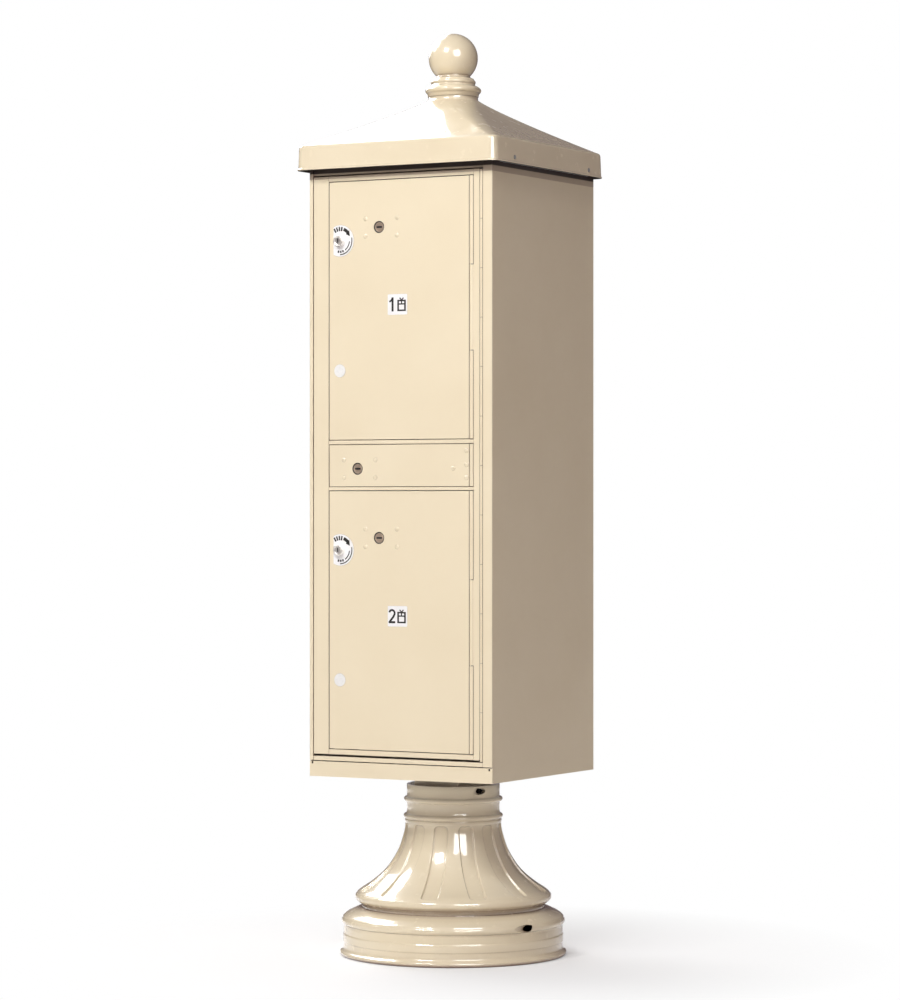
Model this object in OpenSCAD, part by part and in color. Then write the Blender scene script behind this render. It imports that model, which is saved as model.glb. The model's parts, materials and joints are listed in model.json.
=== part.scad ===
// Outdoor parcel locker: a two-compartment cabinet with one master door that
// carries two parcel doors, under a pyramid cap, on a pedestal with a cast cover.
// Origin: pedestal axis at ground level. +X right, +Y to the back, +Z up.

/* [Cabinet] */
// Width of the cabinet over its side walls
cab_w = 420; // [416:1:424]
// Depth of the cabinet from post faces to rear wall
cab_d = 430; // [424:1:440]
// Height of the cabinet floor above the ground
cab_z = 368; // [360:1:368]
// Height of the cabinet's top panel above the ground
cab_top = 1610; // [1608:1:1614]
// Thickness of the sheet walls
sheet = 3; // [2.5:0.5:3]

/* [Doors] */
// Height of each parcel door opening
opening_h = 518.3; // [516:0.1:519]
// Bottom of the lower parcel door opening
opening_low_z = 423.5; // [423:0.1:424]
// Bottom of the upper parcel door opening
opening_up_z = 1041.9; // [1041.5:0.1:1042.5]
// Running gap round each parcel door
door_gap = 1.4; // [1:0.1:1.6]

/* [Hinges] */
// Radius of a parcel door hinge bead
bead_r = 5; // [4.6:0.1:5]
// Radius of a parcel door hinge pin
pin_r = 2.5; // [2:0.1:3]
// Radius of the master door hinge bead
master_bead_r = 3.5; // [3.2:0.1:3.5]
// Radius of the master door hinge pin
master_pin_r = 1.6; // [1.2:0.1:1.8]
// Number of knuckles on the master door hinge
knuckles = 12; // [6:2:16]

/* [Cap] */
// Width of the roof cap
cap_w = 461; // [455:1:465]
// How far the cap stands out over the cabinet front
cap_front = 25.5; // [20:0.5:30]
// How far the cap stands out over the cabinet back
cap_back = 11; // [8:0.5:14]
// Height of the cap's lower edge above the ground
cap_z = 1583.5; // [1580:0.5:1584]
// Height of the upright fascia
fascia_h = 47.5; // [44:0.5:50]
// Radius of the cap's upright corners
cap_r = 18.5; // [12:0.5:24]
// Thickness of the cap
cap_t = 4; // [3:0.5:5]
// Radius of the finial ball
ball_r = 50; // [46:1:52]

/* [Pedestal] */
// Width of the pedestal post
post_w = 102; // [96:1:104]
// Depth of the pedestal post
post_d = 138; // [130:1:140]
// Side of the square base plate
base_plate = 254; // [250:1:280]
// Distance between the anchor bolt holes
anchor_pitch = 203.2; // [196:0.1:206]
// Radius of an anchor bolt hole
anchor_r = 8.75; // [7:0.25:10]

/* [Base cover] */
// Radius of the collar round the post
collar_r = 94.5; // [94:0.5:97]
// Radius of the lower lip of the bell
lip_r = 199.8; // [196:0.2:202]
// Radius of the plinth drum
drum_r = 223; // [221:0.5:225]
// Radius over the foot bead of the plinth
foot_r = 230.4; // [229:0.2:232]
// Wall thickness of the base cover
cover_t = 5; // [4:0.5:6]

/* [Locks] */
// Radius of a tenant lock barrel
tenant_r = 11.5; // [11:0.1:12]
// Radius of a recessed carrier or master lock
carrier_r = 11.9; // [11:0.1:12]
// Radius of the dial ring round a tenant lock
dial_r = 31.4; // [28:0.2:32]
// Throw of the master latch cam pin
throw_r = 4.5; // [4:0.1:4.8]

/* [Hidden] */
$fn = 64;
fit = 0.05;           // radial play of a pin, plug or shaft in its bore
e = 0.5;              // overshoot of a cutting tool
hw = cab_w / 2;
y_face = -cab_d / 2;  // front of the posts
y_back = cab_d / 2;
x_in = hw - sheet;    // inner face of a side wall

// door plane, one millimetre behind the posts
door_y = y_face + 1;
door_in = door_y + sheet;
flange_y = -189;      // back edge of the master door's flanges
pan_y = -196;         // back edge of a parcel door's flanges
bay_y = -174;         // front edge of shelves inside the cabinet

// bolts through the pedestal's top plate
bolt_x = 32;
bolt_y = 48;
bolt_bore_r = 5.1;

// posts, and the skirt below them
post_z = 400;
skirt_top = 398.5;
relief_x = 203.5;     // bend relief holes at the skirt's top corners
relief_z = 395.4;
relief_r = 2.3;
post_l_x = -hw + 8;
post_r_x = hw - 21;
leg_y = -176;

// master door
mdoor_l = -201;
mdoor_r = hw - 28.6;
mdoor_z = 413;
mdoor_top = 1571.3;
mhinge_x = post_r_x - 3.8;
mhinge_y = y_face + 3;
mhinge_z0 = mdoor_z - 3;
mhinge_z1 = mdoor_top - 1;
mhinge_pitch = (mhinge_z1 - mhinge_z0) / knuckles;
mleaf_y = -190;       // back edge of the master hinge's leaves

// parcel door opening
open_l = -165.3;
open_r = 168.4;
phinge_x = 163;
phinge_y = y_face + 4;
crease = 1.5;         // how far a hinge web lies behind the face
door_l = open_l + 1.8;
door_r = 157.6;
openings = [opening_up_z, opening_low_z];
pan_h = opening_h - 2 * door_gap;
mid_knuckle = [174.4, 343];   // frame knuckle, from the bottom of the opening
knuckle_gap = 0.6;

// tops of the three shelves
shelf_z = [409, 948, 1037];

// lock panel
panel_z = opening_low_z + opening_h + 8;
panel_top = opening_up_z - 9.3;
backing = 3;

// places on a parcel door, from the bottom of its opening
tenant_x = -138;
tenant_dz = 399.3;
carrier_x = -48;
carrier_dz = 423.7;
label_x = -5;
label_dz = 268.6;
plug_x = -139;
plug_dz = 139.2;
stud_dx = 36.5;
stud_dz = 17.5;
stud_shift = 5;
panel_studs = [[152, 1020], [152, 992], [152, 966], [122, 985]];   // at the lock panel's right end

// master lock
mlock_x = -98;
mlock_z = 985;
latch_travel = throw_r * sqrt(2);
latch_y = -185;       // middle of the latch bar's thickness
lock_back = -190;     // back end of the lock shells

// cap and finial
roof_top = 1741;
roof_side_top = 50;
shoulder = 5.5;
cap_y0 = y_face - cap_front;
cap_y1 = y_back + cap_back;
ball_z = 1821;
cap_screw_z = cap_z + 12.5;
cap_screw_y = 157;

// base cover heights
cover_top = 347;
bell_z = 98;
flare_top = 258;
flare_low = 127;
flare_steps = 12;
neck_r = 97.7;
collar_hole_z = 336;
collar_hole_az = 67;
drum_hole_z = 71;
drum_hole_az = 75;

cream = "#f4e6c9";
nickel = "#b9b2a4";
zinc = "#a8abad";
mill = "#c4c7ca";

// ---------- helpers ----------

// A box from one corner to the opposite one
module block(a, b) {
    translate(a) cube(b - a);
}

// A round bar along +Y from y0 to y1 at (x, z)
module bar_y(x, z, y0, y1, r) {
    translate([x, y0, z]) rotate([-90, 0, 0]) cylinder(r = r, h = y1 - y0);
}

// A round bar along +Z from z0 to z1 at (x, y)
module bar_z(x, y, z0, z1, r) {
    translate([x, y, z0]) cylinder(r = r, h = z1 - z0);
}

// A radial bar at azimuth az from the front, from radius r0 to r1, at height z
module bar_radial(az, z, r0, r1, r) {
    rotate([0, 0, az]) translate([0, -r1, z]) rotate([-90, 0, 0]) cylinder(r = r, h = r1 - r0);
}

// A rectangle with round corners
module round_rect(x0, x1, y0, y1, r) {
    translate([x0 + r, y0]) square([x1 - x0 - 2 * r, y1 - y0]);
    translate([x0, y0 + r]) square([x1 - x0, y1 - y0 - 2 * r]);
    for (x = [x0 + r, x1 - r], y = [y0 + r, y1 - r]) {
        translate([x, y]) circle(r);
    }
}

// ---------- pedestal ----------

module pedestal_base_plate() {
    half = base_plate / 2;
    color(zinc) difference() {
        block([-half, -half, 0], [half, half, 10]);
        for (x = [-1, 1], y = [-1, 1]) {
            bar_z(x * anchor_pitch / 2, y * anchor_pitch / 2, -e, 10 + e, anchor_r);
        }
    }
}

module pedestal_post() {
    x = post_w / 2;
    y = post_d / 2;
    color(cream) difference() {
        block([-x, -y, 10], [x, y, cab_z - 7]);
        block([-x + 4, -y + 4, 10 - e], [x - 4, y - 4, cab_z - 7 + e]);
    }
}

module bolt_places() {
    for (x = [-bolt_x, bolt_x], y = [-bolt_y, bolt_y]) {
        translate([x, y, 0]) children();
    }
}

module pedestal_top_plate() {
    color(cream) difference() {
        block([-post_w / 2, -post_d / 2, cab_z - 7], [post_w / 2, post_d / 2, cab_z]);
        bolt_places() bar_z(0, 0, cab_z - 7 - e, cab_z + e, bolt_bore_r);
    }
}

// Four bolts down through the cabinet floor, each with its nut under the plate
module pedestal_bolts() {
    color(zinc) bolt_places() {
        bar_z(0, 0, cab_z - 22, cab_z + sheet, 5);
        translate([0, 0, cab_z + sheet]) cylinder(r = 9.8, h = 6.5, $fn = 6);
        translate([0, 0, cab_z - 15]) cylinder(r = 9.8, h = 8, $fn = 6);
    }
}

// ---------- base cover ----------

// Radius of the bell at t, from 0 under the neck to 1 at the lip
function flare(t) = neck_r + (lip_r - 3 - neck_r) * (0.12 * t + 0.88 * pow(t, 2.2));

module bell_outline(inset) {
    polygon(concat(
        [[0, flare_top + 12], [neck_r - inset, flare_top + 12]],
        [for (i = [0 : flare_steps])
            let (t = i / flare_steps)
            [flare(t) - inset, flare_top - t * (flare_top - flare_low)]],
        [[lip_r - 12 - inset, bell_z + 6], [lip_r - 12 - inset, bell_z], [0, bell_z]]
    ));
}

module bell_solid() {
    rotate_extrude() {
        bell_outline(0);
        square([collar_r, cover_top]);
        translate([collar_r + 1, 316]) circle(5);
        translate([collar_r + 1.5, 282]) circle(5);
        translate([lip_r - 9, 118]) circle(9);
    }
}

module base_cover_bell() {
    color(cream) difference() {
        bell_solid();
        rotate_extrude() difference() {
            bell_outline(cover_t);
            translate([0, bell_z - 1]) square([300, 1]);
        }
        bar_z(0, 0, -e, cover_top + e, collar_r - cover_t - 1.5);
        bar_z(0, 0, -e, bell_z, lip_r);
        bar_z(0, 0, bell_z - e, bell_z + 6, lip_r - 12 - cover_t);
        for (side = [0, 180]) {
            bar_radial(collar_hole_az + side, collar_hole_z, 80, 100, 5 + fit);
            bar_radial(collar_hole_az + side, collar_hole_z, collar_r - 2.5, 100, 7.5);
        }
    }
}

module plinth_outline(inset) {
    polygon([
        [0, 0], [drum_r - inset, 0], [drum_r - inset, 74],
        for (a = [0 : 15 : 90])
            [drum_r - 33 - inset + 35 * cos(a), 78 + (bell_z - 78 - inset) * sin(a)],
        [0, bell_z - inset]
    ]);
}

module base_cover_plinth() {
    color(cream) difference() {
        rotate_extrude() {
            plinth_outline(0);
            translate([drum_r - 4, 69]) circle(8);
            translate([foot_r - 6, 6]) circle(6);
        }
        rotate_extrude() plinth_outline(cover_t);
        bar_z(0, 0, -e, bell_z + e, lip_r - 12 - 2 * cover_t);
        for (side = [0, 180]) {
            bar_radial(drum_hole_az + side, drum_hole_z, 200, 240, 8);
        }
    }
}

// Set screws through the collar that bear on the post
module base_cover_screws() {
    tip = (post_w / 2 + 5 * cos(collar_hole_az)) / sin(collar_hole_az);
    color(zinc) for (side = [0, 180]) {
        difference() {
            bar_radial(collar_hole_az + side, collar_hole_z, tip + fit, collar_r - 4, 5);
            bar_radial(collar_hole_az + side, collar_hole_z, collar_r - 10, collar_r, 2.4);
        }
    }
}

// ---------- cabinet ----------

module cabinet_floor() {
    color(mill) difference() {
        block([-x_in, y_face + sheet, cab_z], [x_in, y_back - sheet, cab_z + sheet]);
        bolt_places() bar_z(0, 0, cab_z - e, cab_z + sheet + e, bolt_bore_r);
    }
}

module cabinet_side(x) {
    color(cream) block([x, y_face + sheet, cab_z], [x + sheet, y_back, cab_top]);
}

module cabinet_side_left() {
    cabinet_side(-hw);
}

module cabinet_side_right() {
    cabinet_side(x_in);
}

module rear_panel() {
    color(cream) block([-x_in, y_back - sheet, cab_z], [x_in, y_back, cab_top]);
}

module top_panel() {
    color(mill) block([-x_in, door_in, cab_top - sheet], [x_in, y_back - sheet, cab_top]);
}

// Left post: a narrow face and a leg with the slot that the master latch enters
module front_post_left() {
    color(cream) difference() {
        union() {
            block([-hw, y_face, post_z], [post_l_x, y_face + sheet, cab_top - sheet]);
            block([post_l_x - sheet, y_face, post_z], [post_l_x, leg_y, cab_top - sheet]);
        }
        block([-hw, latch_y - 3, mlock_z - 6], [hw, latch_y + 3, mlock_z + 12]);
    }
}

// Right post: a wide face and a leg that the master hinge is fixed to
module front_post_right() {
    color(cream) {
        block([post_r_x, y_face, post_z], [hw, y_face + sheet, cab_top - sheet]);
        block([post_r_x, y_face, post_z], [post_r_x + sheet, leg_y, cab_top - sheet]);
    }
}

module header_rail() {
    low = mdoor_top + 2.2;
    color(cream) {
        block([post_l_x, y_face + 3, low], [post_r_x, y_face + 6, cab_top - sheet]);
        block([post_l_x, y_face + 3, low], [post_r_x, mleaf_y, low + 3]);
    }
}

module sill_rail() {
    color(cream) {
        block([post_l_x, door_y, post_z], [post_r_x, door_in, 409]);
        block([post_l_x, door_y, 406], [post_r_x, bay_y, 409]);
    }
}

// Plain sheet below the doors, with a bend relief hole near each top corner
module front_skirt() {
    color(cream) difference() {
        block([-hw, door_y, cab_z], [hw, y_face + sheet, skirt_top]);
        for (x = [-relief_x, relief_x]) {
            bar_y(x, relief_z, door_y - e, door_in + e, relief_r);
        }
    }
}

module shelf(top) {
    color(mill) block([-x_in, bay_y, top - sheet], [x_in, y_back - sheet, top]);
}

module shelf_lower() {
    shelf(shelf_z[0]);
}

module lock_bay_floor() {
    shelf(shelf_z[1]);
}

module shelf_upper() {
    shelf(shelf_z[2]);
}

// An angle under each end of each shelf
module shelf_brackets() {
    y1 = y_back - 10;
    color(mill) for (top = shelf_z, side = [0, 1]) {
        mirror([side, 0, 0]) translate([-x_in, 0, top - sheet]) {
            block([0, bay_y + 6, -2], [20, y1, 0]);
            block([0, bay_y + 6, -20], [2, y1, 0]);
        }
    }
}

// ---------- roof cap and finial ----------

module cap_screw_bars(y0, y1, r) {
    for (y = [-cap_screw_y, cap_screw_y], side = [0, 1]) {
        mirror([side, 0, 0]) translate([y0, y, cap_screw_z]) rotate([0, 90, 0])
            cylinder(r = r, h = y1 - y0);
    }
}

// Bars that fill the space between the cabinet walls and the cap's fascia
module cap_support_rails() {
    color(mill) difference() {
        for (side = [0, 1]) {
            mirror([side, 0, 0])
                block([hw, -185, cap_screw_z - 10], [cap_w / 2 - cap_t, 185, cap_screw_z + 10]);
        }
        cap_screw_bars(hw + 1, cap_w / 2, 2.6);
    }
}

// Share of the roof's run that is left at u, from 0 at the eaves to 1 at the top
function run(u) = pow(max(0, 1 - u / 0.92), 1.15);

// Half of the roof's outline, from the eaves at x_low up to the flat at x_top
function slope(x_low, x_top, z_low, z_top) = [
    for (i = [0 : 9]) let (u = i / 10) [x_top + (x_low - x_top) * run(u), z_low + (z_top - z_low) * u]
];

module roof_outline(x0, x1, z0, inset) {
    z_eaves = cap_z + fascia_h;
    z_low = z_eaves + 3 - inset;
    z_top = roof_top - inset;
    top = roof_side_top - inset;
    right = slope(x1 - shoulder, top, z_low, z_top);
    left = slope(x0 + shoulder, -top, z_low, z_top);
    polygon(concat(
        [[x0, z0], [x1, z0], [x1, z_eaves - inset]],
        right,
        [[top, z_top], [-top, z_top]],
        [for (i = [len(left) - 1 : -1 : 0]) left[i]],
        [[x0, z_eaves - inset]]
    ));
}

// A hipped roof: the front view and the side view, each pushed through, meet in the hips
module roof_solid(inset, z0) {
    x = cap_w / 2 - inset;
    intersection() {
        translate([0, cap_y1, 0]) rotate([90, 0, 0])
            linear_extrude(cap_y1 - cap_y0) roof_outline(-x, x, z0, inset);
        translate([-cap_w / 2, 0, 0]) rotate([90, 0, 90])
            linear_extrude(cap_w) roof_outline(cap_y0 + inset, cap_y1 - inset, z0, inset);
        translate([0, 0, z0]) linear_extrude(roof_top - z0)
            round_rect(-x, x, cap_y0 + inset, cap_y1 - inset, cap_r - inset);
    }
}

module roof_cap() {
    color(cream) difference() {
        roof_solid(0, cap_z);
        roof_solid(cap_t, cap_z - e);
        bar_z(0, 0, roof_top - 20, roof_top + e, 6.5);
        cap_screw_bars(hw, cap_w / 2 + e, 2.6);
        cap_screw_bars(cap_w / 2 - 2, cap_w / 2 + e, 4.2);
    }
}

module cap_screws() {
    color(zinc) {
        cap_screw_bars(hw + 2, cap_w / 2 - 1.5, 2.5);
        cap_screw_bars(cap_w / 2 - 2, cap_w / 2 - 0.4, 4);
    }
}

module finial() {
    color(cream) difference() {
        rotate_extrude() intersection() {
            union() {
                translate([0, roof_top]) square([52, 10]);
                translate([0, roof_top + 6]) square([50, 16]);
                translate([50, 1755]) circle(7);
                translate([0, 1760]) square([41.6, 20]);
                translate([40, 1771]) circle(5.6);
                translate([0, 1770]) square([34, 20]);
                translate([0, ball_z]) circle(ball_r);
            }
            translate([0, roof_top]) square([80, 200]);
        }
        bar_z(0, 0, roof_top - e, 1790, 6 + fit);
    }
}

// Threaded stud in the finial, with a nut under the cap
module finial_stud() {
    color(zinc) {
        bar_z(0, 0, roof_top - 24, 1788, 6);
        translate([0, 0, roof_top - cap_t - 10]) cylinder(r = 11, h = 10, $fn = 6);
    }
}

// ---------- master door hinge ----------

// One half of a long hinge: every second knuckle, and its leaf from x0 to x1
module master_leaf(first, x0, x1) {
    difference() {
        union() {
            block([x0, mhinge_y + 3.8, mhinge_z0], [x1, mleaf_y, mhinge_z1]);
            for (i = [first : 2 : knuckles - 1]) {
                z0 = mhinge_z0 + i * mhinge_pitch + 0.3;
                z1 = z0 + mhinge_pitch - 0.6;
                bar_z(mhinge_x, mhinge_y, z0, z1, master_bead_r);
                block([x0, mhinge_y, z0], [x1, mhinge_y + 4, z1]);
            }
        }
        bar_z(mhinge_x, mhinge_y, mhinge_z0 - e, mdoor_top, master_pin_r + fit);
    }
}

module master_hinge_cabinet_leaf() {
    color(cream) master_leaf(0, post_r_x - 1.5, post_r_x);
}

module master_hinge_door_leaf() {
    color(cream) master_leaf(1, mdoor_r, mdoor_r + 1.5);
}

module master_hinge_pin() {
    color(zinc) bar_z(mhinge_x, mhinge_y, mhinge_z0, mhinge_z1, master_pin_r);
}

// ---------- master door ----------

module door_stile_left() {
    color(cream) {
        block([mdoor_l, door_y, mdoor_z], [open_l, door_in, mdoor_top]);
        block([mdoor_l, door_y, mdoor_z], [mdoor_l + 3, flange_y, mdoor_top]);
        block([open_l - 3, door_y, mdoor_z], [open_l, flange_y, mdoor_top]);
    }
}

// Right stile, with the middle knuckle of each parcel door hinge
module door_stile_right() {
    color(cream) difference() {
        union() {
            block([open_r, door_y, mdoor_z], [mdoor_r, door_in, mdoor_top]);
            block([mdoor_r - 3, door_y, mdoor_z], [mdoor_r, flange_y, mdoor_top]);
            block([open_r, door_y, mdoor_z], [open_r + 3, flange_y, mdoor_top]);
            for (z = openings) {
                z0 = z + mid_knuckle[0] + knuckle_gap;
                z1 = z + mid_knuckle[1] - knuckle_gap;
                bar_z(phinge_x, phinge_y, z0, z1, bead_r);
                block([phinge_x, door_y, z0], [open_r + 1, door_in + 1, z1]);
            }
        }
        for (z = openings) {
            bar_z(phinge_x, phinge_y, z, z + opening_h, pin_r + fit);
        }
    }
}

// A cross rail between the stiles, from z0 to z1, with a web at web_z
module door_rail(z0, z1) {
    color(cream) {
        block([open_l, door_y, z0], [open_r, door_in, z1]);
        block([open_l, door_y, (z0 + z1) / 2 - 1.5], [open_r, flange_y, (z0 + z1) / 2 + 1.5]);
    }
}

module door_rail_top() {
    door_rail(opening_up_z + opening_h, mdoor_top);
}

module door_rail_upper_mid() {
    door_rail(panel_top + 1.2, opening_up_z);
}

module door_rail_lower_mid() {
    door_rail(opening_low_z + opening_h, panel_z - 1.2);
}

module door_rail_bottom() {
    door_rail(mdoor_z, opening_low_z);
}

// Lock panel: a face plate on a wider backing that reaches the frame all round
module lock_panel() {
    color(cream) difference() {
        union() {
            block([door_l, door_y, panel_z], [door_r, door_in, panel_top]);
            block([open_l, door_in, panel_z - 1.2], [open_r, door_in + backing, panel_top + 1.2]);
            bar_z(phinge_x, phinge_y, panel_z, panel_top, bead_r);
        }
        bar_y(mlock_x, mlock_z, door_y - e, door_in + backing + e, carrier_r + 0.1);
    }
}

module stud_places(x, z) {
    for (sx = [-1, 1], sz = [-1, 1]) {
        translate([x + stud_shift + sx * stud_dx, 0, z + sz * stud_dz]) children();
    }
}

// Weld studs behind the lock panel: four round the master lock, four at the right end
module lock_panel_studs() {
    y0 = door_in + backing;
    color(zinc) {
        stud_places(mlock_x, mlock_z) bar_y(0, 0, y0, y0 + 12, 2.5);
        for (p = panel_studs) {
            bar_y(p[0], p[1], y0, y0 + 12, 2.5);
        }
    }
}

// ---------- locks ----------

// A recessed lock shell with its flange against a plate whose back is at y_plate
module recessed_lock_body(x, z, y_plate) {
    color(nickel) difference() {
        union() {
            bar_y(x, z, door_y + 1.5, lock_back, carrier_r);
            bar_y(x, z, y_plate, y_plate + 4, 16);
        }
        bar_y(x, z, door_y, lock_back + 1, 8 + fit);
    }
}

module key_slot(x, z, y0, w, h) {
    block([x - w / 2, y0 - 1, z - h / 2], [x + w / 2, y0 + 10, z + h / 2]);
}

module recessed_plug(x, z) {
    difference() {
        bar_y(x, z, door_y + 1.5, lock_back + 0.1, 8);
        key_slot(x, z, door_y + 1.5, 12, 2.4);
        bar_y(x, z, door_y, door_y + 10, 2.6);
    }
}

module carrier_lock_body(z) {
    recessed_lock_body(carrier_x, z + carrier_dz, door_in);
}

module master_lock_body() {
    recessed_lock_body(mlock_x, mlock_z, door_in + backing);
}

// Master lock plug, with a cam disc and the pin that drives the latch bar
module master_lock_plug() {
    color(nickel) {
        recessed_plug(mlock_x, mlock_z);
        bar_y(mlock_x, mlock_z, lock_back + 0.1, lock_back + 3, 9);
        bar_y(mlock_x + latch_travel / 2, mlock_z + latch_travel / 2, latch_y - 2.5, latch_y + 2, 2);
    }
}

// Sliding bar that the cam pin pushes out behind the left post's leg
module master_latch_bar() {
    slot_x = mlock_x + latch_travel / 2;
    color(zinc) difference() {
        block([mdoor_l + 0.5, latch_y - 1.5, mlock_z - 4], [mlock_x + 14, latch_y + 1.5, mlock_z + 10]);
        block([slot_x - 2.35, latch_y - 5, mlock_z + latch_travel / 2 - 2.4],
              [slot_x + 2.35, latch_y + 5, mlock_z + throw_r + 2.4]);
    }
}

module latch_guides() {
    y0 = door_in + backing;
    color(zinc) for (x = [-160, -142]) {
        difference() {
            block([x, y0, mlock_z - 7.4], [x + 8, latch_y + 4, mlock_z + 13.4]);
            block([x - e, y0 - e, mlock_z - 4.4], [x + 8 + e, latch_y + 1.9, mlock_z + 10.4]);
        }
    }
}

// ---------- parcel doors ----------

module parcel_hinge_pin(z) {
    color(zinc) bar_z(phinge_x, phinge_y, z + door_gap, z + opening_h - door_gap, pin_r);
}

module parcel_hinge_pin_upper() {
    parcel_hinge_pin(opening_up_z);
}

module parcel_hinge_pin_lower() {
    parcel_hinge_pin(opening_low_z);
}

// Folded door pan with hinge beads at the top and bottom thirds of its right edge
module door_panel(z) {
    z0 = z + door_gap;
    z1 = z0 + pan_h;
    low = z + mid_knuckle[0] - knuckle_gap;
    high = z + mid_knuckle[1] + knuckle_gap;
    color(cream) difference() {
        union() {
            block([door_l, door_y, z0], [door_r, door_in, z1]);
            block([door_l, door_y, z0], [door_l + 2, pan_y, z1]);
            block([door_r - 10, door_y, z0], [door_r - 8, pan_y, z1]);
            block([door_l, door_y, z0], [door_r - 8, pan_y, z0 + 2]);
            block([door_l, door_y, z1 - 2], [door_r - 8, pan_y, z1]);
            for (span = [[z0, low], [high, z1]]) {
                bar_z(phinge_x, phinge_y, span[0], span[1], bead_r);
                block([door_r - 1, door_y + crease, span[0]], [phinge_x, door_in + 1, span[1]]);
            }
            stud_places(carrier_x, z + carrier_dz) bar_y(0, 0, door_y + 1, door_in + 12, 2.5);
        }
        bar_z(phinge_x, phinge_y, z, z + opening_h, pin_r + fit);
        bar_y(tenant_x, z + tenant_dz, door_y - e, door_in + e, tenant_r + 0.1);
        bar_y(carrier_x, z + carrier_dz, door_y - e, door_in + e, carrier_r + 0.1);
        bar_y(plug_x, z + plug_dz, door_y - e, door_in + e, 9.5);
    }
}

// Printed ring round the tenant lock, cut off where it meets the door's edge
module dial_ring(z) {
    color("white") difference() {
        bar_y(tenant_x, z + tenant_dz, door_y - 1, door_y, dial_r);
        bar_y(tenant_x, z + tenant_dz, door_y - 1 - e, door_y + e, tenant_r + 0.1);
        block([tenant_x - 40, door_y - 2, z + tenant_dz - 40],
              [tenant_x - 15.5, door_y + 1, z + tenant_dz + 40]);
    }
}

module tenant_lock_body(z) {
    color("white") difference() {
        union() {
            bar_y(tenant_x, z + tenant_dz, door_y - 10, lock_back, tenant_r);
            bar_y(tenant_x, z + tenant_dz, door_in, door_in + 4, 16);
        }
        bar_y(tenant_x, z + tenant_dz, door_y - 11, lock_back + 1, 7 + fit);
    }
}

// Tenant lock plug with a cam that swings from upright to behind the left stile
module tenant_lock_plug(z) {
    color(nickel) {
        difference() {
            bar_y(tenant_x, z + tenant_dz, door_y - 10.5, lock_back + 1, 7);
            key_slot(tenant_x, z + tenant_dz, door_y - 10.5, 2, 9);
        }
        bar_y(tenant_x, z + tenant_dz, lock_back + 1, lock_back + 6, 7);
        block([tenant_x - 6, lock_back + 3, z + tenant_dz],
              [tenant_x + 6, lock_back + 6, z + tenant_dz + 36]);
    }
}

module carrier_lock_plug(z) {
    zc = z + carrier_dz;
    color(nickel) {
        recessed_plug(carrier_x, zc);
        bar_y(carrier_x, zc, lock_back + 0.1, lock_back + 3, 9);
        block([carrier_x - 6, lock_back + 0.1, zc - 24], [carrier_x + 6, lock_back + 3, zc]);
    }
}

// Snap-in dome that closes the spare hole
module hole_plug(z) {
    color("white") {
        bar_y(plug_x, z + plug_dz, door_y - 0.8, door_y, 13);
        bar_y(plug_x, z + plug_dz, door_y - 1.8, door_y, 11);
        bar_y(plug_x, z + plug_dz, door_y - 1, door_in + 5, 9.4);
        bar_y(plug_x, z + plug_dz, door_in, door_in + 2, 10.2);
    }
}

module number_label(z) {
    color("white") block([label_x - 22.5, door_y - 0.5, z + label_dz - 20.5],
                         [label_x + 22.5, door_y, z + label_dz + 20.5]);
}

pedestal_base_plate();
pedestal_post();
pedestal_top_plate();
pedestal_bolts();
base_cover_bell();
base_cover_plinth();
base_cover_screws();
cabinet_floor();
cabinet_side_left();
cabinet_side_right();
rear_panel();
top_panel();
front_post_left();
front_post_right();
header_rail();
sill_rail();
front_skirt();
shelf_lower();
lock_bay_floor();
shelf_upper();
shelf_brackets();
cap_support_rails();
roof_cap();
cap_screws();
finial();
finial_stud();
master_hinge_cabinet_leaf();
master_hinge_pin();
master_hinge_door_leaf();
door_stile_left();
door_stile_right();
door_rail_top();
door_rail_upper_mid();
door_rail_lower_mid();
door_rail_bottom();
lock_panel();
lock_panel_studs();
master_lock_body();
latch_guides();
parcel_hinge_pin_upper();
parcel_hinge_pin_lower();
master_latch_bar();
master_lock_plug();
door_panel(opening_up_z);  // upper_door_panel
dial_ring(opening_up_z);  // upper_dial_ring
tenant_lock_body(opening_up_z);  // upper_tenant_lock_body
carrier_lock_body(opening_up_z);  // upper_carrier_lock_body
hole_plug(opening_up_z);  // upper_hole_plug
number_label(opening_up_z);  // upper_number_label
tenant_lock_plug(opening_up_z);  // upper_tenant_lock_plug
carrier_lock_plug(opening_up_z);  // upper_carrier_lock_plug
door_panel(opening_low_z);  // lower_door_panel
dial_ring(opening_low_z);  // lower_dial_ring
tenant_lock_body(opening_low_z);  // lower_tenant_lock_body
carrier_lock_body(opening_low_z);  // lower_carrier_lock_body
hole_plug(opening_low_z);  // lower_hole_plug
number_label(opening_low_z);  // lower_number_label
tenant_lock_plug(opening_low_z);  // lower_tenant_lock_plug
carrier_lock_plug(opening_low_z);  // lower_carrier_lock_plug
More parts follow.
